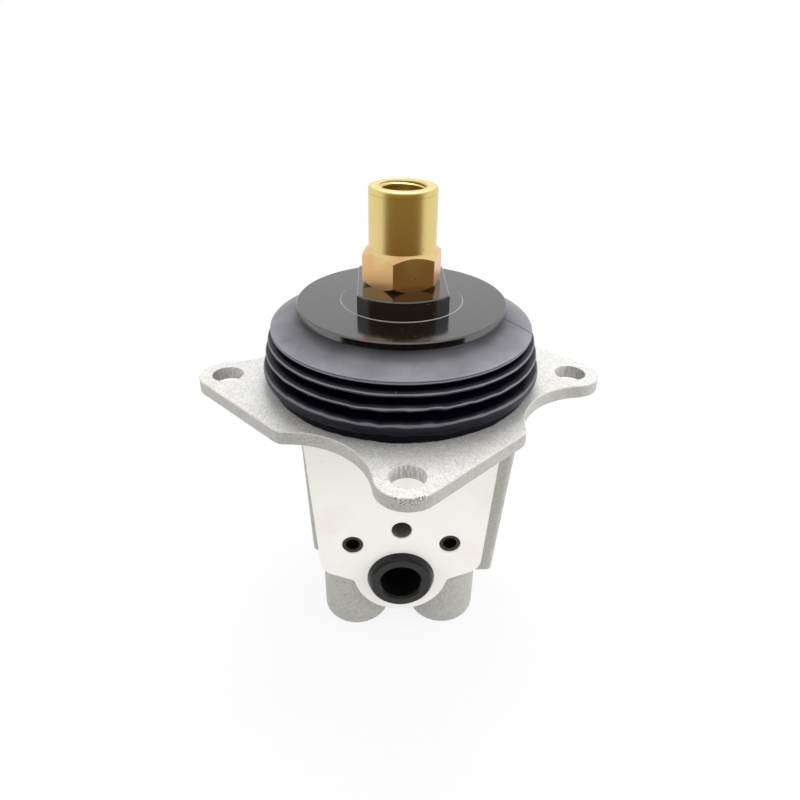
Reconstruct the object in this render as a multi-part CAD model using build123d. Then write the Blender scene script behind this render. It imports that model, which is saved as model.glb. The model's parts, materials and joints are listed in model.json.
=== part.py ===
"""Hydraulic pilot joystick valve: cast body, boot, universal joint, cam disc and four metering sections.

Millimetres and degrees. The origin is on the lever axis, in the plane of the flange's underside, with +Z
towards the lever. The front face, with the pressure port, looks along -Y. The four metering sections stand
on the diagonals between X and Y.
"""

import os
from math import atan2, cos, radians, sin, sqrt, tan

from build123d import *

# ---------------------------------------------------------------- driving dimensions
# mounting flange: four ears on the X and Y axes, each with a straight side and a scooped side
flange_thickness = 4.2
ear_hole_square = 80.0
ear_hole_radius = 5.0
ear_radius = 9.2
flange_corner = 36.2
flange_flat = 35.2
flange_scoop_radius = 25.0
flange_corner_fillet = 4.5
flange_edge_chamfer = 0.25

# cast block under the flange, its sides and rear drawn in towards the bottom by their casting drafts
block_depth = 60.5
block_left = 31.4
block_right = 36.2
block_front = 25.5
block_rear = 30.0
block_left_draft = 0.04
block_right_draft = 0.077
block_rear_draft = 0.052
block_corner_radius = 2.0
block_bottom_chamfer = 1.2
block_step_side = 24.0
block_step_height = 49.3

# machined front pad with its port lobe
pad_face = 28.5
pad_half_width = 30.3
pad_draft = 0.062
pad_side_depth = 56.3
pad_shoulder_slope = 0.4
pad_corner_fillet = 6.0
pad_lobe_fillet = 2.5
pad_thickness = 10.0
port_lobe_radius = 15.8
port_lobe_height = -58.8
port_lobe_length = 20.0

# four metering sections
bore_offset = 15.4
boss_radius = 11.7
boss_bottom = 84.9
boss_edge_fillet = 3.2
bush_bore_radius = 8.6
bush_bore_depth = 12.8
chamber_radius = 7.5
chamber_floor = 46.8
spool_bore_radius = 4.0
work_port_radius = 5.9
work_port_depth = 13.7
port_mouth_chamfer = 0.8

# supply ports and gallery drillings
supply_port_radius = 8.2
supply_port_depth = 14.0
supply_drill_radius = 3.5
supply_drill_depth = 8.0
front_port_height = -59.8
side_port_height = -31.8
side_port_pad_radius = 13.0
side_port_face = 34.8
gallery_offset = 16.1
gallery_height = -44.8
gallery_drill_radius = 3.0
gallery_mouth_radius = 3.5
gallery_mouth_depth = 6.0
centre_drill_height = -38.8
centre_drill_radius = 3.35
centre_drill_depth = 12.0
mouth_chamfer = 0.3

# plastic port plug
plug_rim_radius = 11.4
plug_rim_front_radius = 10.6
plug_rim_height = 2.6
plug_rim_edge = 0.7
plug_hollow_radius = 6.8
plug_floor = 1.5
plug_clearance = 0.05

# hollow gallery plug, set back from the face
gallery_plug_hollow = 2.3
gallery_plug_setback = 0.5
gallery_plug_length = 4.5
gallery_plug_floor = 1.0

# retaining plate on top of the flange
plate_radius = 38.5
plate_thickness = 3.5
plate_plunger_clearance = 0.7
plate_stud_clearance = 0.2

# universal joint
pivot_clearance = 0.3
joint_headroom = 8.2
block_half = 6.2
block_edge_chamfer = 1.0
lower_yoke_turn = 45.0
upper_yoke_turn = 135.0
fork_gap = 0.2
fork_thickness = 3.2
fork_radius = 5.0
pin_radius = 2.5
pin_running_clearance = 0.05
lower_base_radius = 11.0
lower_stud_radius = 6.0
lower_stud_length = 22.0
stud_thread_clearance = 0.05
stud_hole_spare_depth = 1.0
upper_base_radius = 11.5
upper_base_thickness = 2.8
upper_stud_radius = 7.0
upper_stud_length = 17.0
pocket_clearance = 0.5

# cam disc with its two-flat hub
disc_radius = 32.55
disc_top = 30.6
disc_rim_thickness = 2.5
disc_rim_chamfer = 0.4
disc_plate_radius = 29.0
disc_plate_step = 1.5
hub_radius = 18.7
hub_height = 6.0
hub_across_flats = 27.0
hub_edge_chamfer = 0.3

# coupling nut
nut_height = 28.3
nut_barrel_radius = 10.1
nut_across_flats = 21.8
nut_hex_height = 10.6
nut_cone_slope = 37.0
nut_corner_chamfer = 1.5
nut_turn = -16.0
nut_rim_fillet = 1.1
nut_groove_drop = 1.7
nut_groove_size = 0.3
nut_thread_radius = 6.19
nut_thread_length = 14.0
nut_mouth_radius = 7.1

# plungers and their guide bushes
plunger_radius = 4.5
plunger_bottom = -20.3
plunger_cavity_radius = 3.4
plunger_cavity_depth = 5.0
bush_radius = 8.5
bush_running_clearance = 0.05
seal_pocket_radius = 7.5
seal_pocket_depth = 3.5
seal_clearance = 0.1
o_ring_wire_radius = 0.9
o_ring_height = -6.8
o_ring_sides = 4
o_ring_groove_height = 2.2

# spring seats, springs and spools
seat_radius = 6.9
seat_thickness = 3.0
seat_hole_radius = 2.2
return_spring_radius = 6.0
return_wire_radius = 0.7
return_spring_turns = 5
metering_spring_radius = 2.95
metering_wire_radius = 0.45
metering_spring_turns = 6
coil_steps_per_turn = 5
coil_wire_sides = 4
spool_running_clearance = 0.02
spool_land_top = -47.8
spool_bottom = -64.0
spool_groove_radius = 3.2
spool_groove_bottom = -58.8
spool_groove_height = 4.0
spool_stem_radius = 1.8
spool_head_radius = 2.8
spool_head_height = 1.6

# rubber boot: widest radius and height of each pleat, from the flange up
boot_base_radius = 41.6
boot_plate_clearance = 0.3
boot_base_height = 2.6
boot_bore_radius = 36.2
boot_pleats = [(44.0, 8.2, 11.6), (43.0, 15.0, 16.0), (42.0, 19.0, 20.1), (41.0, 22.4, 23.3)]
boot_valley_radii = [38.6, 37.9, 37.4]
boot_lip_round = 0.6
boot_dome_radius = 34.0
boot_dome_drop = 1.9
boot_collar_gap = 0.4
boot_wall = 1.5

# ---------------------------------------------------------------- heights and places that follow
ear_distance = ear_hole_square / sqrt(2)
flange_top = flange_thickness
plate_top = flange_top + plate_thickness
disc_rim_bottom = disc_top - disc_rim_thickness
disc_plate_bottom = disc_rim_bottom - disc_plate_step
pivot_height = disc_plate_bottom - plunger_radius - pivot_clearance
upper_base_bottom = pivot_height + joint_headroom
pocket_roof = upper_base_bottom + upper_base_thickness
lower_base_top = pivot_height - joint_headroom
nut_bottom = disc_top + hub_height
nut_top = nut_bottom + nut_height
fork_inner = block_half + fork_gap
fork_outer = fork_inner + fork_thickness
seat_bottom = plunger_bottom - seat_thickness
stud_hole_radius = lower_stud_radius + stud_thread_clearance
sections = [(1, 1), (-1, 1), (-1, -1), (1, -1)]
front_plane = Plane(origin=(0, -pad_face, 0), x_dir=(1, 0, 0), z_dir=(0, -1, 0))
side_plane = Plane(origin=(side_port_face, 0, 0), x_dir=(0, 1, 0), z_dir=(1, 0, 0))


def cylinder(radius, bottom, top, x=0.0, y=0.0):
    """Upright cylinder between two heights."""
    return Pos(x, y, bottom) * extrude(Circle(radius), top - bottom)


def drill(plane, x, z, radius, depth):
    """Cylinder that runs from a plane into the part."""
    return extrude(plane * Pos(x, z) * Circle(radius), -depth)


def turned(profile):
    """Solid of revolution about Z from (radius, height) points."""
    outline = [(radius, 0, height) for radius, height in profile]
    return revolve(make_face(Polyline(*outline, close=True)), Axis.Z)


def section_place(index):
    """Centre of one metering section, as x and y."""
    side_x, side_y = sections[index]
    return side_x * bore_offset, side_y * bore_offset


# ---------------------------------------------------------------- valve body
def quarter_turn(point, times):
    """Point turned about Z by a number of quarter turns."""
    x, y = point
    for _ in range(times):
        x, y = -y, x
    return x, y


def flange_outline():
    """Pinwheel outline of the flange: one quarter, from the left ear to the front ear, four times round."""
    to_corner_x = ear_distance - flange_corner
    corner_distance = sqrt(to_corner_x**2 + flange_flat**2)
    corner_angle = atan2(-flange_flat, to_corner_x)
    tangent_angle = corner_angle - (radians(90) - atan2(ear_radius, sqrt(corner_distance**2 - ear_radius**2)))
    side_start = (
        -ear_distance + ear_radius * cos(tangent_angle),
        ear_radius * sin(tangent_angle),
    )
    scoop_y = -flange_flat - flange_scoop_radius
    reach = flange_scoop_radius + ear_radius
    scoop_x = -sqrt(reach**2 - (ear_distance + scoop_y) ** 2)
    scoop_start = (scoop_x, -flange_flat)
    share = flange_scoop_radius / reach
    scoop_end = (scoop_x * (1 - share), scoop_y + (-ear_distance - scoop_y) * share)
    middle_angle = (radians(90) + atan2(scoop_end[1] - scoop_y, scoop_end[0] - scoop_x)) / 2
    scoop_middle = (
        scoop_x + flange_scoop_radius * cos(middle_angle),
        scoop_y + flange_scoop_radius * sin(middle_angle),
    )
    corner = (-flange_corner, -flange_flat)
    ear_tip = (0, -ear_distance - ear_radius)
    edges = []
    for quarter in range(4):
        start, bend, flat_end, mid, end, tip = [
            quarter_turn(point, quarter)
            for point in (side_start, corner, scoop_start, scoop_middle, scoop_end, ear_tip)
        ]
        edges.append(Line(start, bend))
        edges.append(Line(bend, flat_end))
        edges.append(ThreePointArc(flat_end, mid, end))
        edges.append(ThreePointArc(end, tip, quarter_turn(side_start, quarter + 1)))
    face = make_face(edges)
    corner_distance_from_axis = sqrt(flange_corner**2 + flange_flat**2)
    corners = [
        vertex
        for vertex in face.vertices()
        if abs(sqrt(vertex.X**2 + vertex.Y**2) - corner_distance_from_axis) < 0.01
    ]
    return fillet(corners, flange_corner_fillet)


def flange():
    """Flange plate with its four bolt holes and lightly broken edges."""
    plate = extrude(flange_outline(), flange_thickness)
    rims = plate.edges().filter_by(lambda edge: abs(edge.center().Z - flange_thickness) < 0.01)
    plate = chamfer(rims, flange_edge_chamfer)
    for quarter in range(4):
        x, y = quarter_turn((ear_distance, 0), quarter)
        plate -= cylinder(ear_hole_radius, 0, flange_thickness, x, y)
    return plate


def block_section(height):
    """Rectangular section of the cast block at a height, drawn in by the drafts."""
    left = block_left + block_left_draft * height
    right = block_right + block_right_draft * height
    rear = block_rear + block_rear_draft * height
    return Pos((right - left) / 2, (rear - block_front) / 2, height) * Rectangle(left + right, block_front + rear)


def cast_block():
    """Tapered block with rounded upright edges, a broken bottom edge and a step along its lower left side."""
    block = loft([block_section(0), block_section(-block_depth)])
    upright = [edge for edge in block.edges() if edge.bounding_box().size.Z > block_depth / 2]
    block = fillet(upright, block_corner_radius)
    block = chamfer(block.edges().group_by(Axis.Z)[0], block_bottom_chamfer)
    step = Pos(-block_step_side - block_left, 0, -block_step_height - block_depth)
    return block - step * Box(2 * block_left, 4 * block_rear, 2 * block_depth)


def front_pad():
    """Machined pad on the front, with sloping shoulders and the lobe round the pressure port."""
    foot_width = pad_half_width - pad_draft * pad_side_depth
    outline = Polyline(
        (-pad_half_width, 0),
        (-foot_width, -pad_side_depth),
        (0, -pad_side_depth - pad_shoulder_slope * foot_width),
        (foot_width, -pad_side_depth),
        (pad_half_width, 0),
        close=True,
    )
    shield = make_face(outline)
    feet = [vertex for vertex in shield.vertices() if abs(vertex.Y + pad_side_depth) < 0.01]
    shield = fillet(feet, pad_corner_fillet)
    shield += Pos(0, port_lobe_height) * Circle(port_lobe_radius)
    inner = [
        vertex
        for vertex in shield.vertices()
        if abs(sqrt(vertex.X**2 + (vertex.Y - port_lobe_height) ** 2) - port_lobe_radius) < 0.01
        and abs(vertex.X) > port_lobe_radius / 2
    ]
    shield = fillet(inner, pad_lobe_fillet)
    pad = extrude(front_plane * shield, -pad_thickness)
    return pad + drill(front_plane, 0, port_lobe_height, port_lobe_radius, port_lobe_length)


def metering_boss(index):
    """Round boss of one metering section, with a rounded bottom edge."""
    x, y = section_place(index)
    boss = cylinder(boss_radius, -boss_bottom, -block_corner_radius, x, y)
    bottom = boss.edges().group_by(Axis.Z)[0]
    return fillet(bottom, boss_edge_fillet)


def metering_bore(index):
    """Stepped bore of one metering section: bush, spring chamber, spool bore and work port."""
    x, y = section_place(index)
    port_top = -boss_bottom + work_port_depth
    bore = cylinder(bush_bore_radius, -bush_bore_depth, flange_top, x, y)
    bore += cylinder(chamber_radius, -chamber_floor, -bush_bore_depth, x, y)
    bore += cylinder(spool_bore_radius, port_top, -chamber_floor, x, y)
    bore += cylinder(work_port_radius, -boss_bottom, port_top, x, y)
    mouth = Cone(work_port_radius + port_mouth_chamfer, work_port_radius, port_mouth_chamfer)
    return bore + Pos(x, y, -boss_bottom + port_mouth_chamfer / 2) * mouth


def mouth_cone(plane, x, z, radius):
    """Broken edge at the mouth of a hole in a plane."""
    cone = Cone(radius, radius + mouth_chamfer, mouth_chamfer)
    return plane * Pos(x, z, -mouth_chamfer / 2) * cone


def supply_port(plane, x, z):
    """Threaded supply port with its inner drilling."""
    port = drill(plane, x, z, supply_port_radius, supply_port_depth)
    port += drill(plane, x, z, supply_drill_radius, supply_port_depth + supply_drill_depth)
    return port + mouth_cone(plane, x, z, supply_port_radius)


def gallery(side):
    """Gallery drilled from the front face through one pair of spring chambers."""
    x = side * gallery_offset
    hole = drill(front_plane, x, gallery_height, gallery_mouth_radius, gallery_mouth_depth)
    hole += drill(front_plane, x, gallery_height, gallery_drill_radius, pad_face + bore_offset)
    return hole + mouth_cone(front_plane, x, gallery_height, gallery_mouth_radius)


def valve_body():
    """Cast body with its flange, machined faces and bores."""
    body = flange() + cast_block() + front_pad()
    body += drill(side_plane, 0, side_port_height, side_port_pad_radius, side_port_face / 2)
    for index in range(len(sections)):
        body += metering_boss(index)
    for index in range(len(sections)):
        body -= metering_bore(index)
    stud_hole_bottom = plate_top - lower_stud_length - stud_hole_spare_depth
    body -= cylinder(stud_hole_radius, stud_hole_bottom, flange_top)
    body -= supply_port(front_plane, 0, front_port_height)
    body -= supply_port(side_plane, 0, side_port_height)
    for side in (-1, 1):
        body -= gallery(side)
    body -= drill(front_plane, 0, centre_drill_height, centre_drill_radius, centre_drill_depth)
    return body - mouth_cone(front_plane, 0, centre_drill_height, centre_drill_radius)


# ---------------------------------------------------------------- plugs
def port_plug(plane, x, z):
    """Hollow plastic plug pushed into a supply port, with a tapered rim outside whose edges are broken."""
    barrel_radius = supply_port_radius - plug_clearance
    barrel_bottom = plug_floor - supply_port_depth
    plug = turned([
        (0, barrel_bottom),
        (barrel_radius, barrel_bottom),
        (barrel_radius, 0),
        (plug_rim_radius, 0),
        (plug_rim_front_radius, plug_rim_height - plug_rim_edge),
        (plug_rim_front_radius - plug_rim_edge, plug_rim_height),
        (plug_hollow_radius + plug_rim_edge, plug_rim_height),
        (plug_hollow_radius, plug_rim_height - plug_rim_edge),
        (plug_hollow_radius, barrel_bottom + plug_floor),
        (0, barrel_bottom + plug_floor),
    ])
    return plane * Pos(x, z) * plug


def gallery_plug(side):
    """Hollow expander plug set back in the mouth of a gallery."""
    start = front_plane.offset(-gallery_plug_setback)
    plug = drill(start, side * gallery_offset, gallery_height, gallery_mouth_radius, gallery_plug_length)
    hollow_depth = gallery_plug_length - gallery_plug_floor
    return plug - drill(start, side * gallery_offset, gallery_height, gallery_plug_hollow, hollow_depth)


def gallery_ball():
    """Ball pressed to the bottom of the centre drilling."""
    depth = pad_face - centre_drill_depth + centre_drill_radius
    return Pos(0, -depth, centre_drill_height) * Sphere(centre_drill_radius)


# ---------------------------------------------------------------- plate, boot
def retaining_plate():
    """Round plate that holds the four guide bushes down."""
    plate = cylinder(plate_radius, flange_top, plate_top)
    plate -= cylinder(lower_stud_radius + plate_stud_clearance, flange_top, plate_top)
    for index in range(len(sections)):
        x, y = section_place(index)
        hole = plunger_radius + plate_plunger_clearance
        plate -= cylinder(hole, flange_top, plate_top, x, y)
    return plate


def boot():
    """Pleated rubber boot between the flange and the underside of the cam disc."""
    seat_radius_inside = plate_radius + boot_plate_clearance
    profile = [(seat_radius_inside, flange_top), (boot_base_radius, flange_top)]
    profile.append((boot_base_radius, flange_top + boot_base_height))
    for number, (radius, low, high) in enumerate(boot_pleats):
        profile.append((radius, low))
        profile.append((radius - boot_lip_round, high))
        if number < len(boot_valley_radii):
            profile.append((boot_valley_radii[number], (high + boot_pleats[number + 1][1]) / 2))
    collar_top = disc_rim_bottom - boot_collar_gap
    collar_radius = disc_plate_radius + boot_collar_gap
    profile.append((boot_dome_radius, collar_top - boot_dome_drop / 2))
    profile.append((collar_radius + boot_wall, collar_top))
    profile.append((collar_radius, collar_top))
    profile.append((collar_radius, collar_top - boot_dome_drop))
    profile.append((boot_bore_radius, boot_pleats[-1][1] + boot_lip_round))
    profile.append((boot_bore_radius, plate_top + boot_plate_clearance))
    profile.append((seat_radius_inside, plate_top + boot_plate_clearance))
    return turned(profile)


# ---------------------------------------------------------------- universal joint
def fork(base_bottom, base_top, base_radius, ears_to, turn):
    """Round base with two ears that reach from it to the pivot; ears_to is +1 up or -1 down."""
    base = cylinder(base_radius, base_bottom, base_top)
    ear_root = base_top if ears_to > 0 else base_bottom
    profile = Pos(0, pivot_height) * Circle(fork_radius)
    ear_height = abs(pivot_height - ear_root)
    middle = (pivot_height + ear_root) / 2
    profile += Pos(0, middle) * Rectangle(2 * fork_radius, ear_height)
    profile -= Pos(0, pivot_height) * Circle(pin_radius + pin_running_clearance)
    across = Plane(origin=(0, 0, 0), x_dir=(0, 1, 0), z_dir=(1, 0, 0))
    ear = extrude(across.offset(fork_inner) * profile, fork_thickness)
    ears = ear + mirror(ear, Plane.YZ)
    return Rot(0, 0, turn) * (base + ears)


def lower_yoke():
    """Fork screwed into the body, which also holds the retaining plate down."""
    yoke = fork(plate_top, lower_base_top, lower_base_radius, 1, lower_yoke_turn)
    return yoke + cylinder(lower_stud_radius, plate_top - lower_stud_length, plate_top)


def upper_yoke():
    """Fork under the cam disc, with the stud that carries the disc and the nut."""
    yoke = fork(upper_base_bottom, pocket_roof, upper_base_radius, -1, upper_yoke_turn)
    return yoke + cylinder(upper_stud_radius, pocket_roof, pocket_roof + upper_stud_length)


def pin(turn, start, end):
    """Round pin at the pivot height, along X before it is turned about Z."""
    across = Plane(origin=(start, 0, pivot_height), x_dir=(0, 1, 0), z_dir=(1, 0, 0))
    return Rot(0, 0, turn) * extrude(across * Circle(pin_radius), end - start)


def long_pin():
    """Pin through the block and both ears of the lower yoke."""
    return pin(lower_yoke_turn, -fork_outer, fork_outer)


def short_pin(side):
    """Pin from the long pin's side out through one ear of the upper yoke."""
    if side > 0:
        return pin(upper_yoke_turn, pin_radius, fork_outer)
    return pin(upper_yoke_turn, -fork_outer, -pin_radius)


def joint_block():
    """Square centre block that carries the pins, with its edges rounded."""
    block = Box(2 * block_half, 2 * block_half, 2 * block_half)
    block = chamfer(block.edges(), block_edge_chamfer)
    block = Pos(0, 0, pivot_height) * Rot(0, 0, lower_yoke_turn) * block
    block -= pin(lower_yoke_turn, -fork_outer, fork_outer)
    return block - pin(upper_yoke_turn, -fork_outer, fork_outer)


# ---------------------------------------------------------------- lever parts
def cam_disc():
    """Disc that presses the plungers, with a two-flat hub on top and a pocket for the joint beneath."""
    disc = cylinder(disc_radius, disc_rim_bottom, disc_top)
    rims = disc.edges().filter_by(GeomType.CIRCLE)
    disc = chamfer(rims, disc_rim_chamfer)
    disc += cylinder(disc_plate_radius, disc_plate_bottom, disc_rim_bottom + disc_rim_chamfer)
    hub = cylinder(hub_radius, disc_top - disc_rim_chamfer, nut_bottom)
    reach = 2 * hub_radius
    middle = (disc_top + nut_bottom) / 2
    hub &= Pos(0, 0, middle) * Box(hub_across_flats, reach, reach)
    hub = chamfer(hub.edges().group_by(Axis.Z)[-1], hub_edge_chamfer)
    disc += hub
    disc -= cylinder(upper_base_radius + pocket_clearance, disc_plate_bottom, pocket_roof)
    return disc - cylinder(upper_stud_radius + stud_thread_clearance, pocket_roof, nut_bottom)


def coupling_nut():
    """Nut with a hexagon below and a threaded barrel above, where the lever screws in."""
    corner_radius = nut_across_flats / 2 / cos(radians(30))
    hexagon = RegularPolygon(corner_radius, 6)
    prism = Pos(0, 0, nut_bottom) * Rot(0, 0, nut_turn) * extrude(hexagon, nut_height)
    cone_rise = (corner_radius - nut_barrel_radius) * tan(radians(nut_cone_slope))
    shoulder = nut_bottom + nut_hex_height
    corner_drop = nut_corner_chamfer
    envelope = turned([
        (0, nut_bottom),
        (corner_radius - corner_drop, nut_bottom),
        (corner_radius, nut_bottom + corner_drop),
        (corner_radius, shoulder - cone_rise),
        (nut_barrel_radius, shoulder),
        (nut_barrel_radius, nut_top),
        (0, nut_top),
    ])
    nut = envelope & prism
    nut = fillet(nut.edges().group_by(Axis.Z)[-1], nut_rim_fillet)
    groove_height = nut_top - nut_groove_drop
    groove_bottom = groove_height - nut_groove_size
    ring = cylinder(corner_radius, groove_bottom, groove_height)
    nut -= ring - cylinder(nut_barrel_radius - nut_groove_size, groove_bottom, groove_height)
    mouth_drop = nut_mouth_radius - nut_thread_radius
    thread_bottom = nut_top - mouth_drop - nut_thread_length
    nut -= turned([
        (0, nut_bottom),
        (upper_stud_radius + stud_thread_clearance, nut_bottom),
        (upper_stud_radius + stud_thread_clearance, thread_bottom),
        (nut_thread_radius, thread_bottom),
        (nut_thread_radius, nut_top - mouth_drop),
        (nut_mouth_radius, nut_top),
        (0, nut_top),
    ])
    return nut


# ---------------------------------------------------------------- metering sections
def guide_bush(index):
    """Bush that guides one plunger, with a seal pocket on top and an O-ring groove outside."""
    x, y = section_place(index)
    bore_radius = plunger_radius + bush_running_clearance
    groove_floor = bush_bore_radius - 2 * o_ring_wire_radius - 2 * seal_clearance
    groove_bottom = o_ring_height - o_ring_groove_height / 2
    groove_top = o_ring_height + o_ring_groove_height / 2
    bush = turned([
        (bore_radius, -bush_bore_depth),
        (bush_radius, -bush_bore_depth),
        (bush_radius, groove_bottom),
        (groove_floor, groove_bottom),
        (groove_floor, groove_top),
        (bush_radius, groove_top),
        (bush_radius, flange_top),
        (seal_pocket_radius, flange_top),
        (seal_pocket_radius, flange_top - seal_pocket_depth),
        (bore_radius, flange_top - seal_pocket_depth),
    ])
    return Pos(x, y) * bush


def rod_seal(index):
    """Seal ring round one plunger, in the pocket on top of its bush."""
    x, y = section_place(index)
    bottom = flange_top - seal_pocket_depth
    ring = cylinder(seal_pocket_radius - seal_clearance, bottom, flange_top - seal_clearance, x, y)
    return ring - cylinder(plunger_radius + seal_clearance, bottom, flange_top, x, y)


def bush_o_ring(index):
    """O-ring in the groove round one bush."""
    x, y = section_place(index)
    ring_radius = bush_bore_radius - o_ring_wire_radius - seal_clearance
    wire = Plane.XZ * Pos(ring_radius, 0) * RegularPolygon(o_ring_wire_radius, o_ring_sides)
    return Pos(x, y, o_ring_height) * revolve(wire, Axis.Z)


def plunger(index):
    """Push rod with a ball end that the cam disc presses, hollow below for the spool's head."""
    x, y = section_place(index)
    rod = cylinder(plunger_radius, plunger_bottom, pivot_height, x, y)
    rod += Pos(x, y, pivot_height) * Sphere(plunger_radius)
    return rod - cylinder(plunger_cavity_radius, plunger_bottom, plunger_bottom + plunger_cavity_depth, x, y)


def spring_seat(index):
    """Seat under one plunger that both springs press against."""
    x, y = section_place(index)
    seat = cylinder(seat_radius, seat_bottom, plunger_bottom, x, y)
    return seat - cylinder(seat_hole_radius, seat_bottom, plunger_bottom, x, y)


def coil(index, radius, wire_radius, turns, bottom, top):
    """Open coil spring between two faces, as short straight runs of square wire."""
    x, y = section_place(index)
    steps = round(turns * coil_steps_per_turn)
    rise = (top - bottom - 2 * wire_radius) / steps
    points = []
    for step in range(steps + 1):
        angle = radians(360 * step / coil_steps_per_turn)
        height = bottom + wire_radius + rise * step
        points.append((x + radius * cos(angle), y + radius * sin(angle), height))
    path = Polyline(*points)
    start = Plane(origin=path @ 0, z_dir=path % 0)
    section = start * RegularPolygon(wire_radius, coil_wire_sides)
    return sweep(section, path=path, transition=Transition.RIGHT)


def return_spring(index):
    """Spring that lifts the seat, the plunger and the cam disc back to the middle."""
    return coil(index, return_spring_radius, return_wire_radius, return_spring_turns, -chamber_floor, seat_bottom)


def metering_spring(index):
    """Spring between the seat and the spool, which sets the work port's pressure."""
    return coil(
        index, metering_spring_radius, metering_wire_radius, metering_spring_turns, spool_land_top, seat_bottom
    )


def spool(index):
    """Metering spool with its annular groove, stem and head."""
    x, y = section_place(index)
    land = spool_bore_radius - spool_running_clearance
    groove_top = spool_groove_bottom + spool_groove_height
    head_top = plunger_bottom + spool_head_height
    rod = turned([
        (0, spool_bottom),
        (land, spool_bottom),
        (land, spool_groove_bottom),
        (spool_groove_radius, spool_groove_bottom),
        (spool_groove_radius, groove_top),
        (land, groove_top),
        (land, spool_land_top),
        (spool_stem_radius, spool_land_top),
        (spool_stem_radius, plunger_bottom),
        (spool_head_radius, plunger_bottom),
        (spool_head_radius, head_top),
        (0, head_top),
    ])
    return Pos(x, y) * rod


# ---------------------------------------------------------------- output
nodes = {
    "valve_body": valve_body(),
    "front_port_plug": port_plug(front_plane, 0, front_port_height),
    "side_port_plug": port_plug(side_plane, 0, side_port_height),
    "gallery_plug_left": gallery_plug(-1),
    "gallery_plug_right": gallery_plug(1),
    "gallery_ball": gallery_ball(),
    "retaining_plate": retaining_plate(),
    "boot": boot(),
    "lower_yoke": lower_yoke(),
    "joint_block": joint_block(),
    "long_pin": long_pin(),
    "short_pin_left": short_pin(1),
    "short_pin_right": short_pin(-1),
    "upper_yoke": upper_yoke(),
    "cam_disc": cam_disc(),
    "coupling_nut": coupling_nut(),
}
section_pieces = {
    "guide_bush": guide_bush,
    "rod_seal": rod_seal,
    "bush_o_ring": bush_o_ring,
    "plunger": plunger,
    "spring_seat": spring_seat,
    "return_spring": return_spring,
    "metering_spring": metering_spring,
    "spool": spool,
}
for piece_name, make_piece in section_pieces.items():
    for index in range(len(sections)):
        nodes[f"{piece_name}_{index + 1}"] = make_piece(index)

os.makedirs("parts", exist_ok=True)
for node_name, solid in nodes.items():
    export_step(solid, f"parts/{node_name}.step")
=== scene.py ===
"""Looks of the hydraulic pilot joystick valve: its finishes, threaded nut, pleated boot, stage and camera.

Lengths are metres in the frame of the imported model: the origin is on the lever axis at the flange's
underside, +Z points up the lever and -Y out of the face with the pressure port.
"""

import json
from math import cos, hypot, pi, radians, sin

import bpy
from mathutils import Matrix, Vector


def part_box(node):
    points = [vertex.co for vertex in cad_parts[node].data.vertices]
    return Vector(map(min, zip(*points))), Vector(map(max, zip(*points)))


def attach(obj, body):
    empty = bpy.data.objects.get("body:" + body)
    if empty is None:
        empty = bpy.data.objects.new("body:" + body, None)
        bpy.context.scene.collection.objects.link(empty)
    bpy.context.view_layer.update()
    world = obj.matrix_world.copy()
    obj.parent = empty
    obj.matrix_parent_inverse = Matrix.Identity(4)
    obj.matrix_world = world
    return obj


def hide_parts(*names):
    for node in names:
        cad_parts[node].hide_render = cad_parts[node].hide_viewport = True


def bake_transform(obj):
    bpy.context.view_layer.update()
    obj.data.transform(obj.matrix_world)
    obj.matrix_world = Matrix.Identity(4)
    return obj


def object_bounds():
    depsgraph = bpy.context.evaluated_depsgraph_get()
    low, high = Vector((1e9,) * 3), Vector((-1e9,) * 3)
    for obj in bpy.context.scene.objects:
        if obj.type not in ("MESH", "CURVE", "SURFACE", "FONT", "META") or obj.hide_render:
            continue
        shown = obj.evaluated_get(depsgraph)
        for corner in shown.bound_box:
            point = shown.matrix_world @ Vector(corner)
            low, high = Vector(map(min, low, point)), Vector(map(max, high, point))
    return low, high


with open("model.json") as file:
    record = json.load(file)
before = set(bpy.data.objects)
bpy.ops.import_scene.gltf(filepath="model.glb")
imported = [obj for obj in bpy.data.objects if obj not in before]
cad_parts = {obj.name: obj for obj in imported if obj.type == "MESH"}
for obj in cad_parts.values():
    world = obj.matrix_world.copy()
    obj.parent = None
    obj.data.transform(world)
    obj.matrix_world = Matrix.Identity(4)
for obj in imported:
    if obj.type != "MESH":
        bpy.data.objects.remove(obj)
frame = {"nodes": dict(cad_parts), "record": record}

CAD_LOW, CAD_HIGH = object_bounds()

bl_info = {
    "name": "Pilot joystick valve looks",
    "version": (1, 0, 0),
    "blender": (4, 5, 0),
    "location": "3D View > Sidebar > Valve",
    "description": "Finishes, threaded nut, rubber boot and stage of a hydraulic pilot joystick valve",
    "category": "Object",
}

MM = 0.001
SECTIONS = ("1", "2", "3", "4")  # the four pressure sections, one to each plunger
REST_PLACE = "rest_place"  # attribute that holds a point's place on the undeformed rubber
EDGE = 0.0001  # small distance past an edge, or short of it

# Name, place, width and power setting of each lamp.
LAMPS = (
    ("lamp_back", (0.05, 0.42, 0.80), 0.45, "back_power"),
    ("lamp_left", (-0.9, -0.25, 0.12), 0.7, "left_power"),
    ("lamp_right", (0.9, -0.2, 0.12), 0.7, "right_power"),
    ("lamp_front", (0.0, -0.95, 0.05), 0.7, "front_power"),
)
CAMERA_AIM = Vector((-0.00004, 0.00001, -0.00594))
CAMERA_LENS, CAMERA_SENSOR = 29.72, 36.0  # millimetres


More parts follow.
